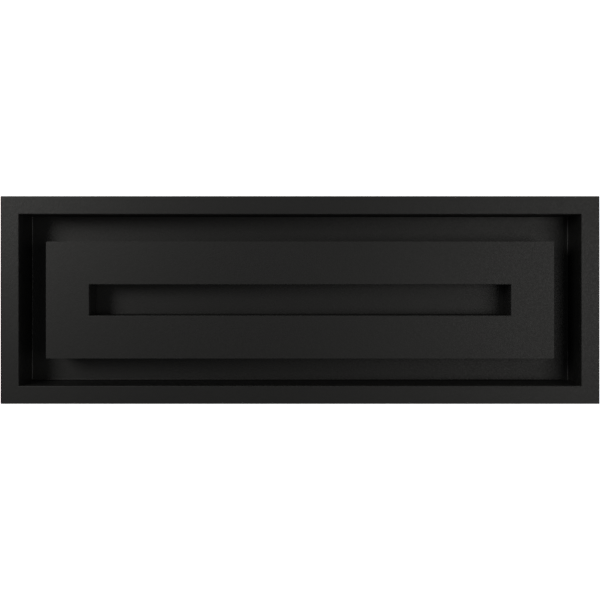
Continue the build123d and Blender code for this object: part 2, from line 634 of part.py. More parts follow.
def make_fan_guard(x):
    """The wire guard on a fan's air side, with an eye for each screw."""
    plane = plenum_back + FAN_DEPTH
    face = (x, plane + GUARD_WIRE, FAN_Z)
    rings = [Pos(*face) * Rot(90, 0, 0) * Torus(r, GUARD_WIRE) for r in (9.0, 17.0, 25.0)]
    arms = [Pos(*face) * Rot(0, 45 + 90 * i, 0) * Pos(21.0, 0, 0) * Rot(0, 90, 0)
            * Cylinder(GUARD_WIRE, 24.0) for i in range(4)]
    eyes = [rod("+y", 4.2, 2 * GUARD_WIRE, (x + dx, plane, FAN_Z + dz)) for dx, dz in fan_corners()]
    holes = [rod("+y", SCREW_HOLE, 4.0, (x + dx, plane - 1, FAN_Z + dz)) for dx, dz in fan_corners()]
    return joined(rings + arms + eyes) - holes


# ---- service panels ------------------------------------------------------------------------------
def make_panel(side, holes):
    """A pressed dish behind the casing's end window, with holes for what it carries."""
    inner = case_inner_x - CASE_SHEET
    back = panel_face - CASE_SHEET
    wide, under, top = POCKET_HALF_WIDTH, POCKET_UNDER, POCKET_TOP
    dish = block(side * back, side * case_inner_x, -wide, wide, under, top)
    dish += block(side * inner, side * case_inner_x, -wide - PANEL_FLANGE, wide + PANEL_FLANGE,
                  under - PANEL_FLANGE, top + PANEL_FLANGE)
    dish -= block(side * panel_face, side * (case_inner_x + 1), CASE_SHEET - wide, wide - CASE_SHEET,
                  under + CASE_SHEET, top - CASE_SHEET)
    facing = "+x" if side > 0 else "-x"
    screws = [rod(facing, SCREW_HOLE, 4.0, (side * (inner - 1), y, z))
              for _, y, z in panel_screw_places(side)]
    return dish - holes - screws


def make_water_panel():
    """The right-hand dish, with holes for the water inlet and the drain tap."""
    start = panel_face - 5.0
    inlet = rod("+x", INLET_RADIUS + CURVE_GAP, 10.0, (start, INLET_Y, INLET_Z))
    drain = rod("+x", 9.0 + CURVE_GAP, 10.0, (start, DRAIN_Y, DRAIN_Z))
    return make_panel(1, [inlet, drain])


def make_power_panel():
    """The left-hand dish, with holes for the mains inlet, the switch and the button."""
    outside, inside = -panel_face - 5.0, -panel_face + 5.0
    inlet = block(outside, inside, -14.3, 14.3, 62.2, 97.3)
    switch = block(outside, inside, SWITCH_Y - 7.3, SWITCH_Y + 7.3, SWITCH_Z - 13.3, SWITCH_Z + 13.3)
    button = rod("+x", 7.5 + CURVE_GAP, 10.0, (outside, BUTTON_Y, BUTTON_Z))
    inlet_screws = [rod("+x", SCREW_HOLE, 10.0, (outside, y, MAINS_Z)) for y in INLET_SCREW_Y]
    return make_panel(-1, [inlet, switch, button] + inlet_screws)


# ---- water connections ---------------------------------------------------------------------------
def make_inlet_fitting():
    """The threaded water inlet, its shoulder behind the panel."""
    back = valve_x + VALVE_HALF
    body = rod("+x", INLET_RADIUS, panel_face + INLET_REACH - back, (back, INLET_Y, INLET_Z))
    shoulder = hexagon_bar("-x", 32.0, 5.0, (panel_face - CASE_SHEET, INLET_Y, INLET_Z))
    relief_at = (panel_face + NUT_THICKNESS, INLET_Y, INLET_Z)
    relief = rod("+x", INLET_RADIUS + 1.0, RELIEF_WIDTH, relief_at)
    relief -= rod("+x", INLET_RADIUS - RELIEF_DEPTH, RELIEF_WIDTH, relief_at)
    return body + shoulder - relief - rod("+x", PIPE_RADIUS, 40.0, (back - 1, INLET_Y, INLET_Z))


def make_inlet_nut():
    """The nut that holds the inlet from the pocket's side."""
    nut = hexagon_bar("+x", 32.0, NUT_THICKNESS, (panel_face, INLET_Y, INLET_Z))
    return nut - rod("+x", INLET_RADIUS + CURVE_GAP, NUT_THICKNESS + 2, (panel_face - 1, INLET_Y, INLET_Z))


def make_valve_body():
    """The fill valve's body, with the closed tube its plunger moves in."""
    half = 13.0
    body = block(valve_x - VALVE_HALF, valve_x + VALVE_HALF, INLET_Y - half, INLET_Y + half,
                 INLET_Z - half, INLET_Z + half)
    body = fillet(body.edges().filter_by(Axis.X), 2.0)
    body += rod("+z", 6.3, 27.0, (valve_x, INLET_Y, INLET_Z + half))
    body -= rod("+z", PLUNGER_RADIUS + SLIDING_GAP, 40.0, (valve_x, INLET_Y, INLET_Z - 2))
    return body - rod("+x", 4.0, 2 * VALVE_HALF + 2, (valve_x - VALVE_HALF - 1, INLET_Y, INLET_Z))


def make_valve_coil():
    """The coil that lifts the plunger."""
    coil = rod("+z", COIL_RADIUS, 24.0, (valve_x, INLET_Y, INLET_Z + 13.0))
    coil += block(valve_x - 6, valve_x + 6, INLET_Y - 17, INLET_Y - 8, INLET_Z + 15, INLET_Z + 25)
    return coil - rod("+z", 6.3 + CURVE_GAP, 26.0, (valve_x, INLET_Y, INLET_Z + 12.0))


def make_valve_plunger():
    """The plunger that shuts the fill valve."""
    return rod("+z", PLUNGER_RADIUS, 30.0, (valve_x, INLET_Y, INLET_Z - 2))


def make_tube(start, end, y, z):
    """A plain water tube along the insert's length."""
    tube = rod("+x", PIPE_RADIUS, end - start, (start, y, z))
    return tube - rod("+x", PIPE_BORE, end - start + 2, (start - 1, y, z))


def make_drain_tap():
    """The drain tap's body, with a round chamber for its ball."""
    tap_x = panel_face + 9.0
    tail = rod("+x", 9.0, 8.0, (panel_face - 7.5, DRAIN_Y, DRAIN_Z))
    body = rod("+x", TAP_RADIUS, 18.0, (panel_face, DRAIN_Y, DRAIN_Z))
    spout = rod("+x", 7.0, 9.0, (panel_face + 18.0, DRAIN_Y, DRAIN_Z))
    boss = rod("+z", 5.5, TAP_RADIUS + 3.0, (tap_x, DRAIN_Y, DRAIN_Z))
    tap = tail + body + spout + boss
    tap -= rod("+x", 4.5, 40.0, (panel_face - 8.0, DRAIN_Y, DRAIN_Z))
    tap -= Pos(tap_x, DRAIN_Y, DRAIN_Z) * Sphere(BALL_RADIUS + SLIDING_GAP)
    return tap - rod("+z", STEM_RADIUS + RUNNING_GAP, 20.0, (tap_x, DRAIN_Y, DRAIN_Z))


def make_drain_ball():
    """The ball with its stem, its hole across the flow while it's shut."""
    tap_x = panel_face + 9.0
    ball = Pos(tap_x, DRAIN_Y, DRAIN_Z) * Sphere(BALL_RADIUS)
    ball -= rod("+y", 4.5, 20.0, (tap_x, DRAIN_Y - 10.0, DRAIN_Z))
    stem = rod("+z", STEM_RADIUS, TAP_RADIUS + 1.0, (tap_x, DRAIN_Y, DRAIN_Z + 6.0))
    cap = rod("+z", 4.4, 1.5, (tap_x, DRAIN_Y, DRAIN_Z + TAP_RADIUS + 7.0))
    return ball + stem + cap


def make_drain_lever():
    """The tap's lever, pointing along the pocket while the tap is shut."""
    tap_x = panel_face + 9.0
    z0 = DRAIN_Z + TAP_RADIUS + 3.5
    lever = rod("+z", 6.5, 3.5, (tap_x, DRAIN_Y, z0))
    lever += block(tap_x - 4, tap_x + 4, DRAIN_Y, DRAIN_Y + 30, z0, z0 + 3.5)
    lever += rod("+z", 4.0, 3.5, (tap_x, DRAIN_Y + 30, z0))
    return lever - rod("+z", STEM_RADIUS + CURVE_GAP, 5.0, (tap_x, DRAIN_Y, z0 - 0.5))


# ---- power connections ---------------------------------------------------------------------------
def make_mains_inlet():
    """The mains inlet: a socket for a lead's plug, with a fuse drawer's slot under it."""
    face = -panel_face
    body = block(face, face + 22, -14, 14, 62.5, 97)
    body += block(face - 3, face, -24, 24, 60, 99.5)
    body -= block(face - 4, face + 13, -12.2, 12.2, MAINS_Z - 8.3, MAINS_Z + 8.3)
    body -= block(face - 4, face + 13, -12.0, 12.0, FUSE_Z - 4.0, FUSE_Z + 4.0)
    holes = [rod("+x", SCREW_HOLE, 5.0, (face - 4, y, MAINS_Z)) for y in INLET_SCREW_Y]
    return body - holes


def make_inlet_pins():
    """The three flat pins in the mains inlet."""
    floor = -panel_face + 13.0
    places = [(-7.0, MAINS_Z - 2.5), (0.0, MAINS_Z + 3.0), (7.0, MAINS_Z - 2.5)]
    return joined(block(floor - 14, floor, y - 1.0, y + 1.0, z - 2.0, z + 2.0) for y, z in places)


def make_fuse_drawer():
    """The little drawer that holds the fuse."""
    face = -panel_face
    drawer = block(face - 3, face + 12.5, -11.7, 11.7, FUSE_Z - 3.7, FUSE_Z + 3.7)
    drawer += block(face - 4.5, face - 3, -11.7, 11.7, FUSE_Z - 3.7, FUSE_Z + 3.7)
    trough = block(face + 1, face + 11, -10, 10, FUSE_Z - 2.2, FUSE_Z + 4)
    grip = block(face - 5, face - 3.5, -3, 3, FUSE_Z - 4, FUSE_Z - 2)
    return drawer - trough - grip


def make_switch_body():
    """The power switch's housing, with bearings for its rocker."""
    face = -panel_face
    body = block(face, face + 20, SWITCH_Y - 7, SWITCH_Y + 7, SWITCH_Z - 13, SWITCH_Z + 13)
    body += block(face - 2, face, SWITCH_Y - 8.5, SWITCH_Y + 8.5, SWITCH_Z - 15, SWITCH_Z + 15)
    body -= block(face - 3, face + 12, SWITCH_Y - 5.5, SWITCH_Y + 5.5, SWITCH_Z - 11.6, SWITCH_Z + 11.6)
    return body - rod("+y", 1.5 + RUNNING_GAP, 12.8, (face + 3, SWITCH_Y - 6.4, SWITCH_Z))


def make_switch_rocker():
    """The rocker on its two pins, tipped to its off side."""
    outline = Polyline((-5.5, 10.2), (-3.4, 0), (-5.5, -10.2), (2.5, -8.2), (3.2, 0), (2.5, 8.2),
                       close=True)
    plate = extrude(Plane.XZ * make_face(outline), 5.2, both=True)
    pins = rod("+y", 1.5, 12.4, (0, -6.2, 0))
    rocker = fillet(plate.edges().filter_by(Axis.Y).sort_by(Axis.X)[0], 0.6) + pins
    return Pos(3 - panel_face, SWITCH_Y, SWITCH_Z) * Rot(0, -ROCKER_ANGLE, 0) * rocker


def make_button_body():
    """The standby button's barrel."""
    face = -panel_face
    body = rod("-x", 9.5, 2.0, (face, BUTTON_Y, BUTTON_Z))
    body += rod("+x", 7.5, 20.0, (face, BUTTON_Y, BUTTON_Z))
    return body - rod("+x", 5.5 + SLIDING_GAP, 16.0, (face - 3, BUTTON_Y, BUTTON_Z))


def make_button_cap():
    """The standby button's cap, standing proud of its barrel."""
    cap = Cylinder(5.5, 11.0, align=(Align.CENTER, Align.CENTER, Align.MIN))
    cap = fillet(cap.edges().filter_by(GeomType.CIRCLE).sort_by(Axis.Z)[-1], 0.8)
    return Pos(7.0 - panel_face, BUTTON_Y, BUTTON_Z) * FACING["-x"] * cap


# ---- electronics ---------------------------------------------------------------------------------
def make_supply_case():
    """The power supply's slotted case, standing on the casing's lip and a foot."""
    (x0, x1), (y0, y1), (z0, z1) = SUPPLY_X, SUPPLY_Y, SUPPLY_Z
    case = block(x0, x1, y0, y1, z0, z1)
    case -= block(x0 + 1.2, x1 - 1.2, y0 + 1.2, y1 - 1.2, z0 + 1.2, z1 - 1.2)
    case += block(x0 + 20, x0 + 34, y1 - 1.2, y1 + 8, base_top, lip_top + 1.2)
    case += block(x1 - 34, x1 - 20, y1 - 1.2, y1 + 8, base_top, lip_top + 1.2)
    slots = [block(x0 + 14 + 7 * i, x0 + 17 + 7 * i, y1 - 2, y1 + 1, z0 + 30, z0 + 74) for i in range(19)]
    ports = [block(x0 - 1, x0 + 3, y0 + 5, y1 - 8, z0 + 42, z0 + 82),
             rod("+x", 3.0, 4.0, (x1 - 3, HEADER_MIDDLE, 60.0))]
    return case - slots - ports


def make_supply_board():
    """The board in the power supply, with its transformer, capacitors and terminal block."""
    (x0, x1), (y0, y1), (z0, z1) = SUPPLY_X, SUPPLY_Y, SUPPLY_Z
    board = block(x0 + 4, x1 - 4, y0 + 5, y0 + 5 + BOARD_THICKNESS, z0 + 4, z1 - 4)
    face = y0 + 5 + BOARD_THICKNESS
    board += block(x0 + 60, x0 + 95, face - 0.5, face + 24, z0 + 22, z0 + 60)
    board += [rod("+y", 8.0, 24.0, (x, face - 0.5, z0 + 30.0)) for x in (x0 + 112, x0 + 134)]
    board += block(x0 + 105, x0 + 145, face - 0.5, face + 20, z0 + 54, z0 + 58)
    board += block(x0 - 12, x0 + 30, face - 0.5, face + 20, z0 + 44, z0 + 80)
    return board


def make_control_board():
    """The control board, upright along the casing's front wall."""
    (x0, x1), (z0, z1) = CONTROL_X, CONTROL_Z
    board = block(x0, x1, CONTROL_Y, CONTROL_Y + BOARD_THICKNESS, z0, z1)
    return board - [rod("+y", SCREW_HOLE, 4.0, (x, CONTROL_Y - 1, z))
                    for x, z in board_corners(CONTROL_X, CONTROL_Z)]


def board_corners(span_x, span_z):
    """A board's four fixing holes."""
    x_places = (span_x[0] + CORNER_INSET, span_x[1] - CORNER_INSET)
    z_places = (span_z[0] + CORNER_INSET, span_z[1] - CORNER_INSET)
    return [(x, z) for x in x_places for z in z_places]


def make_control_parts():
    """Relays, processor, capacitors and plug headers on the control board."""
    face = CONTROL_Y + BOARD_THICKNESS
    parts = [block(x, x + 16, face, face + 15, 46, 58) for x in (-62.0, -42.0, -22.0)]
    parts.append(block(-85, -65, face, face + 3, 76, 92))
    parts += [rod("+y", 5.0, 14.0, (x, face, 40.0)) for x in (-115.0, -102.0, -89.0)]
    headers = [(-130.0, -120.0, 55, 65), (-105.0, -95.0, 54, 62), (-127.0, -105.0, 99, 109),
               (-75.0, -66.0, 96, 104), (-65.0, -55.0, 107.5, 116.5), (10.0, 20.0, 55, 65)]
    parts += [block(x0, x1, face, HEADER_FRONT, z0, z1) for x0, x1, z0, z1 in headers]
    parts.append(block(-36.0, -24.0, face, HEADER_FRONT, 104, 120))
    return joined(parts)


def make_spacers():
    """Hexagonal pillars under the two boards."""
    pillars, holes = [], []
    for x, z in board_corners(CONTROL_X, CONTROL_Z):
        pillars.append(hexagon_bar("+y", 7.0, CONTROL_Y + case_inner_y, (x, -case_inner_y, z)))
        holes.append(rod("+y", SCREW_HOLE, 30.0, (x, CONTROL_Y - 9, z)))
    for x, z in board_corners(DRIVER_X, DRIVER_Z):
        pillars.append(hexagon_bar("+y", 7.0, DRIVER_Y - SINK_Y, (x, SINK_Y, z)))
        holes.append(rod("+y", SCREW_HOLE, 30.0, (x, SINK_Y + 0.5, z)))
    return joined(pillars) - holes


def make_driver_board():
    """The transducer driver's board, with its power transistors against the heat sink."""
    (x0, x1), (z0, z1) = DRIVER_X, DRIVER_Z
    board = block(x0, x1, DRIVER_Y, DRIVER_Y + BOARD_THICKNESS, z0, z1)
    board += [block(x - 5, x + 5, SINK_Y, DRIVER_Y + 0.2, 96, 112) for x in driver_columns()]
    face = DRIVER_Y + BOARD_THICKNESS
    board += block(x0, x0 + 10, face - 0.2, face + 12, 55, 65)
    board += block(MIST_HEADER_X - 6, MIST_HEADER_X + 6, face - 0.2, face + 12, MIST_HEADER_Z, 52)
    return board - [rod("+y", SCREW_HOLE, 4.0, (x, DRIVER_Y - 1, z))
                    for x, z in board_corners(DRIVER_X, DRIVER_Z)]


def driver_columns():
    """Where each transducer's transistor and coil stand along the driver board."""
    pitch = (DRIVER_X[1] - DRIVER_X[0] - 40) / (TRANSDUCER_COUNT - 1)
    return [DRIVER_X[0] + 20 + pitch * i for i in range(TRANSDUCER_COUNT)]


def make_driver_coils():
    """One wound coil for each transducer."""
    face = DRIVER_Y + BOARD_THICKNESS
    coil = Cylinder(7.0, 11.0) - Cylinder(2.5, 13.0)
    coil = fillet(coil.edges().filter_by(GeomType.CIRCLE), 0.8)
    return joined(Pos(x, face + 5.5, 88.0) * Rot(90, 0, 0) * coil for x in driver_columns())


def make_heat_sink():
    """The finned heat sink behind the driver board; its end fins stand on the casing's wall."""
    (x0, x1), (z0, z1) = DRIVER_X, DRIVER_Z
    sink = block(x0, x1, SINK_Y - 4, SINK_Y, z0, z1)
    count = 14
    pitch = (x1 - x0 - 2) / (count - 1)
    for i in range(count):
        reach = -case_inner_y if i in (0, count - 1) else 2 - case_inner_y
        fin_x = x0 + pitch * i
        sink += block(fin_x, fin_x + 2, reach, SINK_Y - 3, z0, z1)
    return sink


# ---- leads ---------------------------------------------------------------------------------------
def make_power_looms():
    """Mains, switch, supply and driver leads."""
    rear = 22.0 - panel_face
    terminal = SUPPLY_X[0] - 12.0
    aisle = -tank_half_length - 18.5
    mains = cable([(rear, 0, 79), (aisle, 0, 79), (aisle, TERMINAL_Y, 79), (terminal, TERMINAL_Y, 79)],
                  2.2, 13.2)
    switch_rear = 20.0 - panel_face
    aisle -= 6.0
    switch = cable([(switch_rear, SWITCH_Y, 70), (aisle, SWITCH_Y, 70), (aisle, TERMINAL_Y, 70),
                    (terminal, TERMINAL_Y, 70)], 2.0, 12.0)
    supply = rod("+x", 2.0, CONTROL_X[0] - SUPPLY_X[1] + 4.0, (SUPPLY_X[1] - 4.0, HEADER_MIDDLE, 60.0))
    driver = cable([(CONTROL_X[1], HEADER_MIDDLE, 60), (50, HEADER_MIDDLE, 60), (84, DRIVER_HEADER, 60),
                    (DRIVER_X[0], DRIVER_HEADER, 60)], 2.0, 20.0)
    return joined([mains, switch, supply, driver])


def make_signal_looms():
    """Leads of the fans, transducers, lights, valve, level switch and button."""
    return joined([make_fan_loom(), make_mist_loom(), make_valve_loom(), make_level_loom(),
                   make_light_loom(-1, 0.0), make_light_loom(1, 8.0), make_button_loom()])


def make_fan_loom():
    """From the fans, round the tank's left end, to the control board."""
    z, left, front = FAN_LOOM_Z, -tank_half_length - 32.5, front_aisle
    run = [(FAN_X[-1] + 22, fan_loom_y, z), (left, fan_loom_y, z), (left, front, z), (-100, front, z),
           (-100, HEADER_FRONT, z)]
    risers = [rod("+z", 1.6, FAN_Z - FAN_SIZE / 2 - z, (x, fan_loom_y, z)) for x in FAN_X]
    return cable(run, 2.2, 13.2) + risers


def make_mist_loom():
    """A trunk under the transducers, with a branch forward and up to the driver board."""
    z, x = MIST_LOOM_Z, MIST_HEADER_X
    start, end = transducer_x[0] - 6.0, max(transducer_x[-1], x) + 4.0
    trunk = rod("+x", 2.0, end - start, (start, 0, z))
    branch = cable([(x, 0, z), (x, DRIVER_HEADER, z), (x, DRIVER_HEADER, MIST_HEADER_Z)], 1.8, 12.0)
    risers = [rod("+z", 1.6, TRANSDUCER_UNDER - 3.0 - z, (x, 0, z)) for x in transducer_x]
    return trunk + branch + risers


def make_valve_loom():
    """From the fill valve's coil, along the hood, to the control board."""
    front, coil_y = -tank_half_width - 19.0, INLET_Y - 17.0
    run = [(valve_x, coil_y, 132), (valve_x, front, 132), (-60, front, 112), (-60, HEADER_FRONT, 112)]
    return cable(run, 1.5, 9.0)


def make_level_loom():
    """From the level switch, round the hood's right end, down to the control board."""
    z, right = 145.0, (tank_half_length + valve_x - COIL_RADIUS) / 2
    run = [(float_x + 8.2, float_y, z), (right, float_y, z), (right, HEADER_MIDDLE, z),
           (-30, HEADER_MIDDLE, z), (-30, HEADER_MIDDLE, 120)]
    return cable(run, 1.2, 8.0)


def make_light_loom(side, spread):
    """From one light's end, down past the hood's left end, to the control board."""
    y, z = side * (LIGHT_INNER_Y + LIGHT_DEPTH / 2), nozzle_under - LIGHT_HEIGHT / 2
    left = -tank_half_length - 15.5 - spread
    front = -tank_half_width - 15.0 - spread * 7 / 8
    header_x = -110.0 - spread * 1.5
    run = [(-light_half_length, y, z), (left, y, z), (left, y, 104), (left, front, 104),
           (header_x, front, 104), (header_x, HEADER_FRONT, 104)]
    return cable(run, 1.5, 9.0)


def make_button_loom():
    """From the standby button, over the power supply, to the control board."""
    left, front = -tank_half_length - 31.5, HEADER_FRONT + 14.0
    run = [(20 - panel_face, BUTTON_Y, BUTTON_Z), (left, BUTTON_Y, BUTTON_Z), (left, front, BUTTON_Z),
           (-70, front, BUTTON_Z), (-70, HEADER_FRONT, BUTTON_Z)]
    return cable(run, 1.0, 6.0)


def make_cable_clips():
    """Blocks on the walls and the base that the leads pass through."""
    z, y = FAN_LOOM_Z, fan_loom_y
    clips = [block(x - 4, x + 4, y - 5, case_inner_y, z - 4.5, z + 4.5) - rod("+x", 2.5, 10, (x - 5, y, z))
             for x in (100.0, -100.0, -300.0)]
    clips += [block(x - 4, x + 4, -4.5, 4.5, base_top, 15.5) - rod("+x", 2.3, 10, (x - 5, 0, MIST_LOOM_Z))
              for x in rib_x]
    clips += [block(x - 4, x + 4, front_aisle - 4.5, -tank_half_width, z - 4.5, z + 4.5)
              - rod("+x", 2.5, 10, (x - 5, front_aisle, z)) for x in (-330.0, -150.0)]
    return joined(clips)


# ---- screws --------------------------------------------------------------------------------------
def make_short_screws():
    """Every short screw: base plate, hood, service panels and clamps."""
    screws = [screw("-z", SHORT_SCREW, (x, y, FOOT_HEIGHT)) for x, y in base_screw_places()]
    screws += [screw("+z", SHORT_SCREW, (x, y, hood_under + HOOD_FLANGE)) for x, y in hood_screw_places]
    for side in (-1, 1):
        facing = "+x" if side > 0 else "-x"
        screws += [screw(facing, SHORT_SCREW, place) for place in panel_screw_places(side)]
    screws += [screw("-x", SHORT_SCREW, (-panel_face - 3, y, MAINS_Z)) for y in INLET_SCREW_Y]
    for side, row in clamp_places().values():
        facing = "+y" if row > 0 else "-y"
        place = (side * CLAMP_X, row * (case_outer_y + CLAMP_SHEET + 0.2), CLAMP_SCREW_Z)
        screws.append(screw(facing, SHORT_SCREW, place))
    screws += [screw("+y", BOARD_SCREW, (x, CONTROL_Y + BOARD_THICKNESS, z))
               for x, z in board_corners(CONTROL_X, CONTROL_Z)]
    screws += [screw("+y", BOARD_SCREW, (x, DRIVER_Y + BOARD_THICKNESS, z))
               for x, z in board_corners(DRIVER_X, DRIVER_Z)]
    return joined(screws)


def make_long_screws():
    """The fans' long screws, through guard, frame and plenum."""
    face = plenum_back + FAN_DEPTH + 2 * GUARD_WIRE
    return joined(screw("+y", LONG_SCREW, (x + dx, face, FAN_Z + dz))
                  for x in FAN_X for dx, dz in fan_corners())


# ---- every node ----------------------------------------------------------------------------------
os.makedirs("parts", exist_ok=True)
sides = (-1, 1)

save(make_tray(), "tray")
save(make_cover(), "cover")
save(make_nozzle_bar(), "nozzle_bar")
save(make_casing(), "casing")
save(make_base_plate(), "base_plate")
save(make_feet(), "feet")
save(make_rim_gasket(), "rim_gasket")
for name, (side, row) in clamp_places().items():
    save(make_clamp(side, row), name)

save(make_tank(), "water_tank")
save(make_tank_seal(), "tank_seal")
save(make_hood(), "mist_hood")
save(joined(make_transducer_body(x) for x in transducer_x), "transducer_bodies")
save(joined(make_transducer_nut(x) for x in transducer_x), "transducer_nuts")
save(joined(make_transducer_disc(x) for x in transducer_x), "transducer_discs")
save(make_float_stem(), "float_stem")
save(make_float(), "float_ring")

save(joined(make_light_profile(side) for side in sides), "light_profiles")
save(joined(make_light_strip(side) for side in sides), "light_strips")
save(joined(make_light_diffuser(side) for side in sides), "light_diffusers")

save(make_plenum(), "air_plenum")
save(joined(make_fan_frame(x) for x in FAN_X), "fan_frames")
for name, x in zip(("left", "middle", "right"), FAN_X):
    save(make_fan_rotor(x), f"fan_rotor_{name}")
save(joined(make_fan_guard(x) for x in FAN_X), "fan_guards")

save(make_water_panel(), "water_panel")
save(make_inlet_fitting(), "inlet_fitting")
save(make_inlet_nut(), "inlet_nut")
save(make_valve_body(), "valve_body")
save(make_valve_coil(), "valve_coil")
save(make_valve_plunger(), "valve_plunger")
save(make_tube(tank_half_length - 6, valve_x - VALVE_HALF, INLET_Y, INLET_Z), "fill_tube")
save(make_tube(tank_half_length - 6, panel_face - 7.5, DRAIN_Y, DRAIN_Z), "drain_pipe")
save(make_drain_tap(), "drain_tap")
save(make_drain_ball(), "drain_ball")
save(make_drain_lever(), "drain_lever")

save(make_power_panel(), "power_panel")
save(make_mains_inlet(), "mains_inlet")
save(make_inlet_pins(), "inlet_pins")
save(make_fuse_drawer(), "fuse_drawer")
save(make_switch_body(), "switch_body")
save(make_switch_rocker(), "switch_rocker")
save(make_button_body(), "button_body")
save(make_button_cap(), "button_cap")

save(make_supply_case(), "supply_case")
save(make_supply_board(), "supply_board")
save(make_control_board(), "control_board")
save(make_control_parts(), "control_parts")
save(make_spacers(), "board_spacers")
save(make_driver_board(), "driver_board")
save(make_driver_coils(), "driver_coils")
save(make_heat_sink(), "heat_sink")
save(make_power_looms(), "power_looms")
save(make_signal_looms(), "signal_looms")
save(make_cable_clips(), "cable_clips")
save(make_short_screws(), "short_screws")
save(make_long_screws(), "long_screws")
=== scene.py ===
"""Looks of the drop-in water-vapour fireplace insert, in metres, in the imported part's own frame."""
import json
from math import radians

import bpy
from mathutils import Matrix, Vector


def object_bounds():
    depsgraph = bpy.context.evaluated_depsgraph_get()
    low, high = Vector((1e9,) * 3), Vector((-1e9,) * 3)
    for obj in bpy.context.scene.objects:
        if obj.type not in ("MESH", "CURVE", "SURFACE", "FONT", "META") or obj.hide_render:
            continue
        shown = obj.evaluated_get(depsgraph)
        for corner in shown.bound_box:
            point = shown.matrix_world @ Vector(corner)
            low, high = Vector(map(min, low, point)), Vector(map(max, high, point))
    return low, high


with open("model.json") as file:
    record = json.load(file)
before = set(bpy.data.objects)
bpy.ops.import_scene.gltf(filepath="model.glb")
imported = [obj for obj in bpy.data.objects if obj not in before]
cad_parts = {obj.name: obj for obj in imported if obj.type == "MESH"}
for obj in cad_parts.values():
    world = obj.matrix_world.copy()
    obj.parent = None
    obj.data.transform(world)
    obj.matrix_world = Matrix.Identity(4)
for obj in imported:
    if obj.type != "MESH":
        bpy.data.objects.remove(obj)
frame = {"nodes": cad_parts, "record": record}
cad_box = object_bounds()

MM = 0.001
WHITE = (1.0, 1.0, 1.0, 1.0)

# ---- colours -------------------------------------------------------------------------------------


def colour(code):
    """An sRGB hex value as linear red, green, blue and alpha."""
    channels = [int(code[i:i + 2], 16) / 255 for i in (0, 2, 4)]
    linear = [c / 12.92 if c <= 0.04045 else ((c + 0.055) / 1.055) ** 2.4 for c in channels]
    return (*linear, 1.0)


# ---- material building ---------------------------------------------------------------------------
# The Mix, Math and Vector Math nodes give several sockets the same name, so theirs are reached by
# number.
MIX_FACTOR = 0
MIX_FIRST_COLOUR = 6
MIX_SECOND_COLOUR = 7
MIXED_COLOUR = 2


def add(tree, kind, sockets=None, **settings):
    """Adds a node, sets its own settings, and fills or links its sockets."""
    node = tree.nodes.new(kind)
    for name, value in settings.items():
        setattr(node, name, value)
    for name, value in (sockets or {}).items():
        if isinstance(value, bpy.types.NodeSocket):
            tree.links.new(value, node.inputs[name])
        else:
            node.inputs[name].default_value = value
    return node


def start_material(name, metallic, roughness, specular=0.5):
    """A new material: its node tree, its shader, and the place on the piece in metres."""
    material = bpy.data.materials.new(name)
    material.use_nodes = True
    tree = material.node_tree
    shader = tree.nodes["Principled BSDF"]
    shader.inputs["Metallic"].default_value = metallic
    shader.inputs["Roughness"].default_value = roughness
    shader.inputs["Specular IOR Level"].default_value = specular
    place = add(tree, "ShaderNodeTexCoord").outputs["Object"]
    return material, tree, shader, place


def repeats_per_metre(size_mm):
    """A pattern's scale, from the size of one of its repeats."""
    return 1.0 / (size_mm * MM)


def blend_colours(tree, factor, low, high):
    """Two hex colours mixed by a pattern."""
    sockets = {
        MIX_FACTOR: factor,
        MIX_FIRST_COLOUR: colour(low),
        MIX_SECOND_COLOUR: colour(high),
    }
    return add(tree, "ShaderNodeMix", sockets, data_type="RGBA").outputs[MIXED_COLOUR]


def noise(tree, place, size_mm, detail=2.0):
    """Noise whose patches are about size_mm across."""
    sockets = {
        "Vector": place,
        "Scale": repeats_per_metre(size_mm),
        "Detail": detail,
        "Roughness": 0.55,
    }
    return add(tree, "ShaderNodeTexNoise", sockets).outputs["Fac"]


def between(tree, value, low, high):
    """A pattern's 0.3 to 0.7, where nearly all noise lies, spread over low to high."""
    sockets = {"Value": value, "From Min": 0.3, "From Max": 0.7, "To Min": low, "To Max": high}
    return add(tree, "ShaderNodeMapRange", sockets).outputs["Result"]


def bump(tree, height, depth_mm, under=None):
    """A bump of a real depth, laid over another one if there is one."""
    sockets = {"Height": height, "Distance": depth_mm * MM, "Strength": 1.0}
    if under is not None:
        sockets["Normal"] = under
    return add(tree, "ShaderNodeBump", sockets).outputs["Normal"]


def edge_mask(tree, radius_mm):
    """About 1 along sharp edges and 0 on flat faces: how far a rounded normal leaves the true."""
    soft = add(tree, "ShaderNodeBevel", {"Radius": radius_mm * MM}, samples=4).outputs["Normal"]
    true = add(tree, "ShaderNodeNewGeometry").outputs["Normal"]
    dot = add(tree, "ShaderNodeVectorMath", {0: soft, 1: true}, operation="DOT_PRODUCT")
    sockets = {
        "Value": dot.outputs["Value"],
        "From Min": 0.995,
        "From Max": 0.8,
        "To Min": 0.0,
        "To Max": 1.0,
    }
    return add(tree, "ShaderNodeMapRange", sockets).outputs["Result"]


# ---- materials -----------------------------------------------------------------------------------


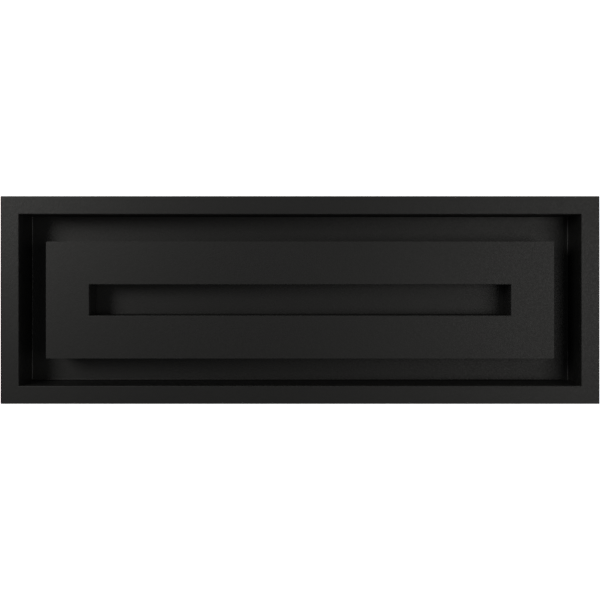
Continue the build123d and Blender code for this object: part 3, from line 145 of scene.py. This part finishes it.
def black_powder_coat():
    """Fine-texture polyester powder baked on steel: deep black, dull sheen, a sandy grain."""
    material, tree, shader, place = start_material("black_powder_coat", metallic=0.0, roughness=0.5)
    cloud = noise(tree, place, size_mm=90.0)
    sockets = {
        MIX_FACTOR: edge_mask(tree, radius_mm=0.8),
        MIX_FIRST_COLOUR: blend_colours(tree, cloud, "0b0b0a", "0f0f0e"),
        MIX_SECOND_COLOUR: colour("232321"),
    }
    rubbed = add(tree, "ShaderNodeMix", sockets, data_type="RGBA")
    tree.links.new(rubbed.outputs[MIXED_COLOUR], shader.inputs["Base Color"])
    # The powder's own grain is about half a millimetre, which is too fine to show, so it is
    # drawn a few times coarser.
    grain = noise(tree, place, size_mm=2.2, detail=4.0)
    orange_peel = noise(tree, place, size_mm=7.0)
    tree.links.new(between(tree, grain, 0.44, 0.58), shader.inputs["Roughness"])
    fine = bump(tree, grain, depth_mm=0.16)
    tree.links.new(bump(tree, orange_peel, depth_mm=0.1, under=fine), shader.inputs["Normal"])
    return material


def galvanised_sheet():
    """Hot-dip galvanised steel: flat zinc crystals about 9 mm wide, each a shade of grey apart."""
    material, tree, shader, place = start_material("galvanised_sheet", metallic=1.0, roughness=0.4)
    sockets = {"Vector": place, "Scale": repeats_per_metre(9.0), "Randomness": 1.0}
    crystal = add(tree, "ShaderNodeTexVoronoi", sockets).outputs["Color"]
    shade = add(tree, "ShaderNodeSeparateColor", {"Color": crystal}).outputs["Red"]
    cloud = noise(tree, place, size_mm=60.0)
    # Shade times cloud, and a little more to keep the darkest crystals from black.
    sockets = {0: shade, 1: cloud, 2: 0.15}
    tone = add(tree, "ShaderNodeMath", sockets, operation="MULTIPLY_ADD").outputs["Value"]
    tree.links.new(blend_colours(tree, tone, "8f9395", "b6babb"), shader.inputs["Base Color"])
    tree.links.new(between(tree, shade, 0.36, 0.5), shader.inputs["Roughness"])
    dents = noise(tree, place, size_mm=25.0)
    fine = bump(tree, noise(tree, place, size_mm=1.5), depth_mm=0.02)
    tree.links.new(bump(tree, dents, depth_mm=0.1, under=fine), shader.inputs["Normal"])
    return material


def moulded_black():
    """Injection-moulded polypropylene: dark, with the mould's spark texture, faint flow marks."""
    material, tree, shader, place = start_material("moulded_black", metallic=0.0, roughness=0.5)
    flow = noise(tree, place, size_mm=40.0)
    tree.links.new(blend_colours(tree, flow, "141415", "1e1e20"), shader.inputs["Base Color"])
    spark = noise(tree, place, size_mm=0.9, detail=3.0)
    tree.links.new(between(tree, spark, 0.42, 0.6), shader.inputs["Roughness"])
    tree.links.new(bump(tree, spark, depth_mm=0.05), shader.inputs["Normal"])
    return material


def black_rubber():
    """Moulded nitrile rubber: matt, slightly dusty."""
    material, tree, shader, place = start_material(
        "black_rubber", metallic=0.0, roughness=0.8, specular=0.35)
    dust = noise(tree, place, size_mm=12.0)
    tree.links.new(blend_colours(tree, dust, "131313", "232322"), shader.inputs["Base Color"])
    grain = noise(tree, place, size_mm=0.7)
    tree.links.new(bump(tree, grain, depth_mm=0.06), shader.inputs["Normal"])
    return material


def grey_foam():
    """Closed-cell foam strip: dark grey, with cut cells on its faces."""
    material, tree, shader, place = start_material(
        "grey_foam", metallic=0.0, roughness=0.9, specular=0.3)
    sockets = {"Vector": place, "Scale": repeats_per_metre(1.4)}
    cells = add(tree, "ShaderNodeTexVoronoi", sockets).outputs["Distance"]
    tree.links.new(blend_colours(tree, cells, "2a2a2b", "4a4a4c"), shader.inputs["Base Color"])
    tree.links.new(bump(tree, cells, depth_mm=0.2), shader.inputs["Normal"])
    return material


GRAINS_PER_CLOUD = 12


def metal(name, low, high, roughness, grain_mm):
    """A plain metal: its colour wanders a little, and its grain roughens it."""
    material, tree, shader, place = start_material(name, metallic=1.0, roughness=roughness)
    cloud = noise(tree, place, size_mm=grain_mm * GRAINS_PER_CLOUD)
    tree.links.new(blend_colours(tree, cloud, low, high), shader.inputs["Base Color"])
    grain = noise(tree, place, size_mm=grain_mm, detail=4.0)
    rough = between(tree, grain, roughness - 0.07, roughness + 0.1)
    tree.links.new(rough, shader.inputs["Roughness"])
    tree.links.new(bump(tree, grain, depth_mm=0.01), shader.inputs["Normal"])
    return material


def turned_brass():
    """Turned brass, slightly dulled, with the fine roughness that the tool leaves."""
    return metal("turned_brass", "a58347", "c7a35f", roughness=0.33, grain_mm=0.6)


def zinc_steel():
    """Bright zinc-plated steel for screws, pins and wire."""
    return metal("zinc_steel", "9a9c9d", "c4c6c6", roughness=0.3, grain_mm=0.5)


def extruded_aluminium():
    """Extruded aluminium with die lines along its length."""
    material, tree, shader, place = start_material(
        "extruded_aluminium", metallic=1.0, roughness=0.38)
    sockets = {"Vector": place, "Scale": (0.02, 1.0, 1.0)}
    stretched = add(tree, "ShaderNodeMapping", sockets).outputs["Vector"]
    lines = noise(tree, stretched, size_mm=0.6, detail=3.0)
    tree.links.new(blend_colours(tree, lines, "a9acae", "cfd1d2"), shader.inputs["Base Color"])
    tree.links.new(between(tree, lines, 0.3, 0.48), shader.inputs["Roughness"])
    tree.links.new(bump(tree, lines, depth_mm=0.01), shader.inputs["Normal"])
    return material


def plastic(name, low, high, roughness, grain_mm=1.2):
    """A moulded or extruded plastic of one colour, with faint mottling and grain."""
    material, tree, shader, place = start_material(name, metallic=0.0, roughness=roughness)
    mottle = noise(tree, place, size_mm=18.0)
    tree.links.new(blend_colours(tree, mottle, low, high), shader.inputs["Base Color"])
    grain = noise(tree, place, size_mm=grain_mm)
    rough = between(tree, grain, roughness - 0.06, roughness + 0.08)
    tree.links.new(rough, shader.inputs["Roughness"])
    tree.links.new(bump(tree, grain, depth_mm=0.02), shader.inputs["Normal"])
    return material


def circuit_board():
    """Glass-epoxy board under green solder mask, with fine paler tracks."""
    material, tree, shader, place = start_material("circuit_board", metallic=0.0, roughness=0.3)
    # The boards stand upright, so the pattern is turned into their plane.
    upright = {"Vector": place, "Rotation": (radians(90), 0.0, 0.0)}
    sockets = {
        "Vector": add(tree, "ShaderNodeMapping", upright).outputs["Vector"],
        "Scale": repeats_per_metre(9.0),
        "Color1": colour("0f5a2c"),
        "Color2": colour("0d4d27"),
        "Mortar": colour("2b7f49"),
        "Mortar Size": 0.05,
        "Brick Width": 0.9,
        "Row Height": 0.35,
    }
    tracks = add(tree, "ShaderNodeTexBrick", sockets)
    tree.links.new(tracks.outputs["Color"], shader.inputs["Base Color"])
    tree.links.new(bump(tree, tracks.outputs["Fac"], depth_mm=0.04), shader.inputs["Normal"])
    return material


def enamelled_copper():
    """Enamelled copper wire, wound: parallel turns, drawn coarser than real so that they show."""
    material, tree, shader, place = start_material("enamelled_copper", metallic=1.0, roughness=0.3)
    # A wave texture has about three bands in one of its repeats, so a band is 4 mm wide.
    sockets = {"Vector": place, "Scale": repeats_per_metre(12.0), "Distortion": 0.4}
    turns = add(tree, "ShaderNodeTexWave", sockets, bands_direction="Y").outputs["Fac"]
    tree.links.new(blend_colours(tree, turns, "7a3416", "c46a34"), shader.inputs["Base Color"])
    tree.links.new(bump(tree, turns, depth_mm=0.2), shader.inputs["Normal"])
    return material


def glazed_ceramic():
    """Fired ceramic disc with a slightly speckled face."""
    return plastic("glazed_ceramic", "cfcabc", "e2ded2", roughness=0.35, grain_mm=0.8)


def white_plastic():
    """White polypropylene of the float, the valve and the light strips."""
    return plastic("white_plastic", "d2d2cb", "e4e4de", roughness=0.42)


def frosted_plastic():
    """Frosted polycarbonate over the lamps."""
    return plastic("frosted_plastic", "dcdede", "eceeee", roughness=0.5, grain_mm=0.6)


def grey_tube():
    """Grey polyethylene water tube."""
    return plastic("grey_tube", "8d9193", "a3a7a9", roughness=0.4)


def red_grip():
    """Red vinyl dipped over the tap's lever."""
    return plastic("red_grip", "9c1712", "b3211a", roughness=0.35, grain_mm=2.0)


def black_sheath():
    """Black PVC sheath of the leads inside."""
    return plastic("black_sheath", "121213", "1d1d1e", roughness=0.45, grain_mm=1.5)


def pale_floor():
    """Plain matt studio floor, which glows so that it stays white."""
    material, tree, shader, place = start_material(
        "pale_floor", metallic=0.0, roughness=0.9, specular=0.2)
    shader.inputs["Emission Color"].default_value = WHITE
    shader.inputs["Emission Strength"].default_value = 1.0
    cloud = noise(tree, place, size_mm=400.0)
    tree.links.new(blend_colours(tree, cloud, "f5f5f5", "f8f8f8"), shader.inputs["Base Color"])
    return material


finishes = {
    "black_steel": black_powder_coat(),
    "galvanised_steel": galvanised_sheet(),
    "black_plastic": moulded_black(),
    "black_rubber": black_rubber(),
    "grey_foam": grey_foam(),
    "brass": turned_brass(),
    "white_ceramic": glazed_ceramic(),
    "white_plastic": white_plastic(),
    "aluminium": extruded_aluminium(),
    "frosted_plastic": frosted_plastic(),
    "bright_steel": zinc_steel(),
    "grey_tube": grey_tube(),
    "red_plastic": red_grip(),
    "green_board": circuit_board(),
    "copper": enamelled_copper(),
    "black_lead": black_sheath(),
}

for subpart in frame["record"]["subparts"]:
    mesh = frame["nodes"][subpart["node"]].data
    mesh.materials.clear()
    mesh.materials.append(finishes[subpart["material_slot"]])

# ---- floor ---------------------------------------------------------------------------------------
FLOOR_SIZE = 30.0

bpy.ops.object.select_all(action="DESELECT")
bpy.ops.mesh.primitive_plane_add(size=FLOOR_SIZE, location=(0, 0, 0))
floor = bpy.context.object
floor.name = "studio_floor"
floor.data.materials.append(pale_floor())

# ---- lights --------------------------------------------------------------------------------------
WARM_WHITE = (1.0, 0.985, 0.95)
LIT_POINT = (0, 0, 0.2)     # just under the cover's top, where both lights point


def soft_light(name, place, width, depth, power):
    """A rectangular soft light that points at the insert."""
    light = bpy.data.lights.new(name, "AREA")
    light.shape = "RECTANGLE"
    light.size = width
    light.size_y = depth
    light.energy = power
    light.color = WARM_WHITE
    lamp = bpy.data.objects.new(name, light)
    bpy.context.collection.objects.link(lamp)
    lamp.location = place
    facing = Vector(LIT_POINT) - Vector(place)
    lamp.rotation_euler = facing.to_track_quat("-Z", "Y").to_euler()


soft_light("left_light", (-1.7, 0.75, 2.2), width=0.9, depth=0.9, power=20.5)
soft_light("right_light", (1.3, 0.0, 2.3), width=0.9, depth=1.4, power=9.5)

# ---- room: a white backdrop at the horizon, and even light from above ----------------------------
BACKDROP_TOP = 0.2          # sine of the elevation up to which the white backdrop reaches
BACKDROP_FADE = 0.4         # and by which it has faded into the room
BACKDROP_LIGHT = 1.0
ROOM_LIGHT = 0.11

world = bpy.data.worlds.new("studio_world")
bpy.context.scene.world = world
world.use_nodes = True
sky = world.node_tree
outward = add(sky, "ShaderNodeTexCoord").outputs["Generated"]
upward = add(sky, "ShaderNodeSeparateXYZ", {"Vector": outward}).outputs["Z"]
fade = {
    "Value": upward,
    "From Min": BACKDROP_TOP,
    "From Max": BACKDROP_FADE,
    "To Min": BACKDROP_LIGHT,
    "To Max": ROOM_LIGHT,
}
glow = add(sky, "ShaderNodeMapRange", fade, interpolation_type="SMOOTHSTEP").outputs["Result"]
backdrop = sky.nodes["Background"]
backdrop.inputs["Color"].default_value = WHITE
sky.links.new(glow, backdrop.inputs["Strength"])

# ---- camera, straight above ----------------------------------------------------------------------
LENS = 50.0                 # millimetres, as is the sensor's width
SENSOR = 36.0
CAMERA_HEIGHT = 1.391       # above the rim
CAMERA_OFFSET = 0.064       # towards the back of the insert's middle
rim_height = cad_box[1][2]

camera_data = bpy.data.cameras.new("camera")
camera_data.lens = LENS
camera_data.sensor_width = SENSOR
camera_data.shift_y = -CAMERA_OFFSET / (CAMERA_HEIGHT * SENSOR / LENS)
camera = bpy.data.objects.new("camera", camera_data)
camera.location = (0, CAMERA_OFFSET, rim_height + CAMERA_HEIGHT)
bpy.context.collection.objects.link(camera)
bpy.context.scene.camera = camera
bpy.context.scene.view_settings.view_transform = "Standard"
